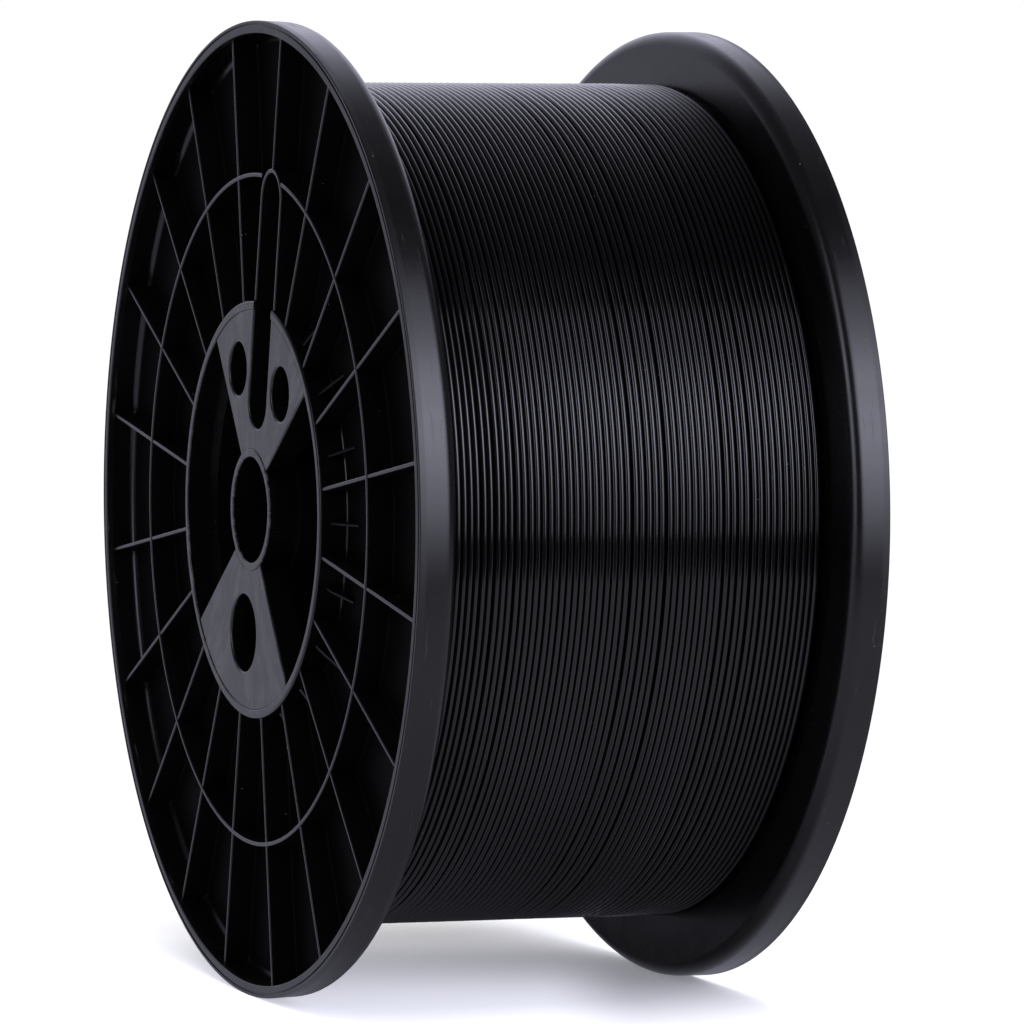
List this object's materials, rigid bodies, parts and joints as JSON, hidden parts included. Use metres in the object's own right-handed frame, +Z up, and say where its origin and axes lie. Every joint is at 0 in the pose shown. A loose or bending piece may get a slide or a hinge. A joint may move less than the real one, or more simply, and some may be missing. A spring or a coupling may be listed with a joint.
{
  "type": "filament spool",
  "caption": "Large wound filament spool: ribbed flanges with a start slot and drive holes, on a hollow barrel with a through bore",
  "frame": {"origin": "The centre of the spool, on the bore's axis, midway between the flanges' outer faces.", "axes": "+Y is the spool's axis, from the left flange to the right one. +Z is up as the spool stands on its two rims. +X is square to both."},
  "size_m": [0.275, 0.134, 0.275],
  "materials": {
    "flange_plastic": "satin black moulded styrene plastic",
    "hub_plastic": "satin black moulded styrene plastic",
    "filament": "glossy black extruded strand"
  },
  "bodies": {
    "root": {"left_rim": "flange_plastic", "left_web": "flange_plastic", "left_mid_ring": "flange_plastic", "left_slot_walls": "flange_plastic", "left_hub_ring": "flange_plastic", "left_ribs": "flange_plastic", "left_gussets": "flange_plastic", "left_slotted_hub_panel": "flange_plastic", "left_plain_hub_panel": "flange_plastic", "left_bore_boss": "flange_plastic", "right_rim": "flange_plastic", "right_web": "flange_plastic", "right_mid_ring": "flange_plastic", "right_slot_walls": "flange_plastic", "right_hub_ring": "flange_plastic", "right_ribs": "flange_plastic", "right_gussets": "flange_plastic", "right_slotted_hub_panel": "flange_plastic", "right_plain_hub_panel": "flange_plastic", "right_bore_boss": "flange_plastic", "barrel": "hub_plastic", "centre_tube": "hub_plastic", "filament_inner_layers": "filament", "filament_outer_layer": "filament", "filament_first_end": "filament"}
  },
  "joints": []
}
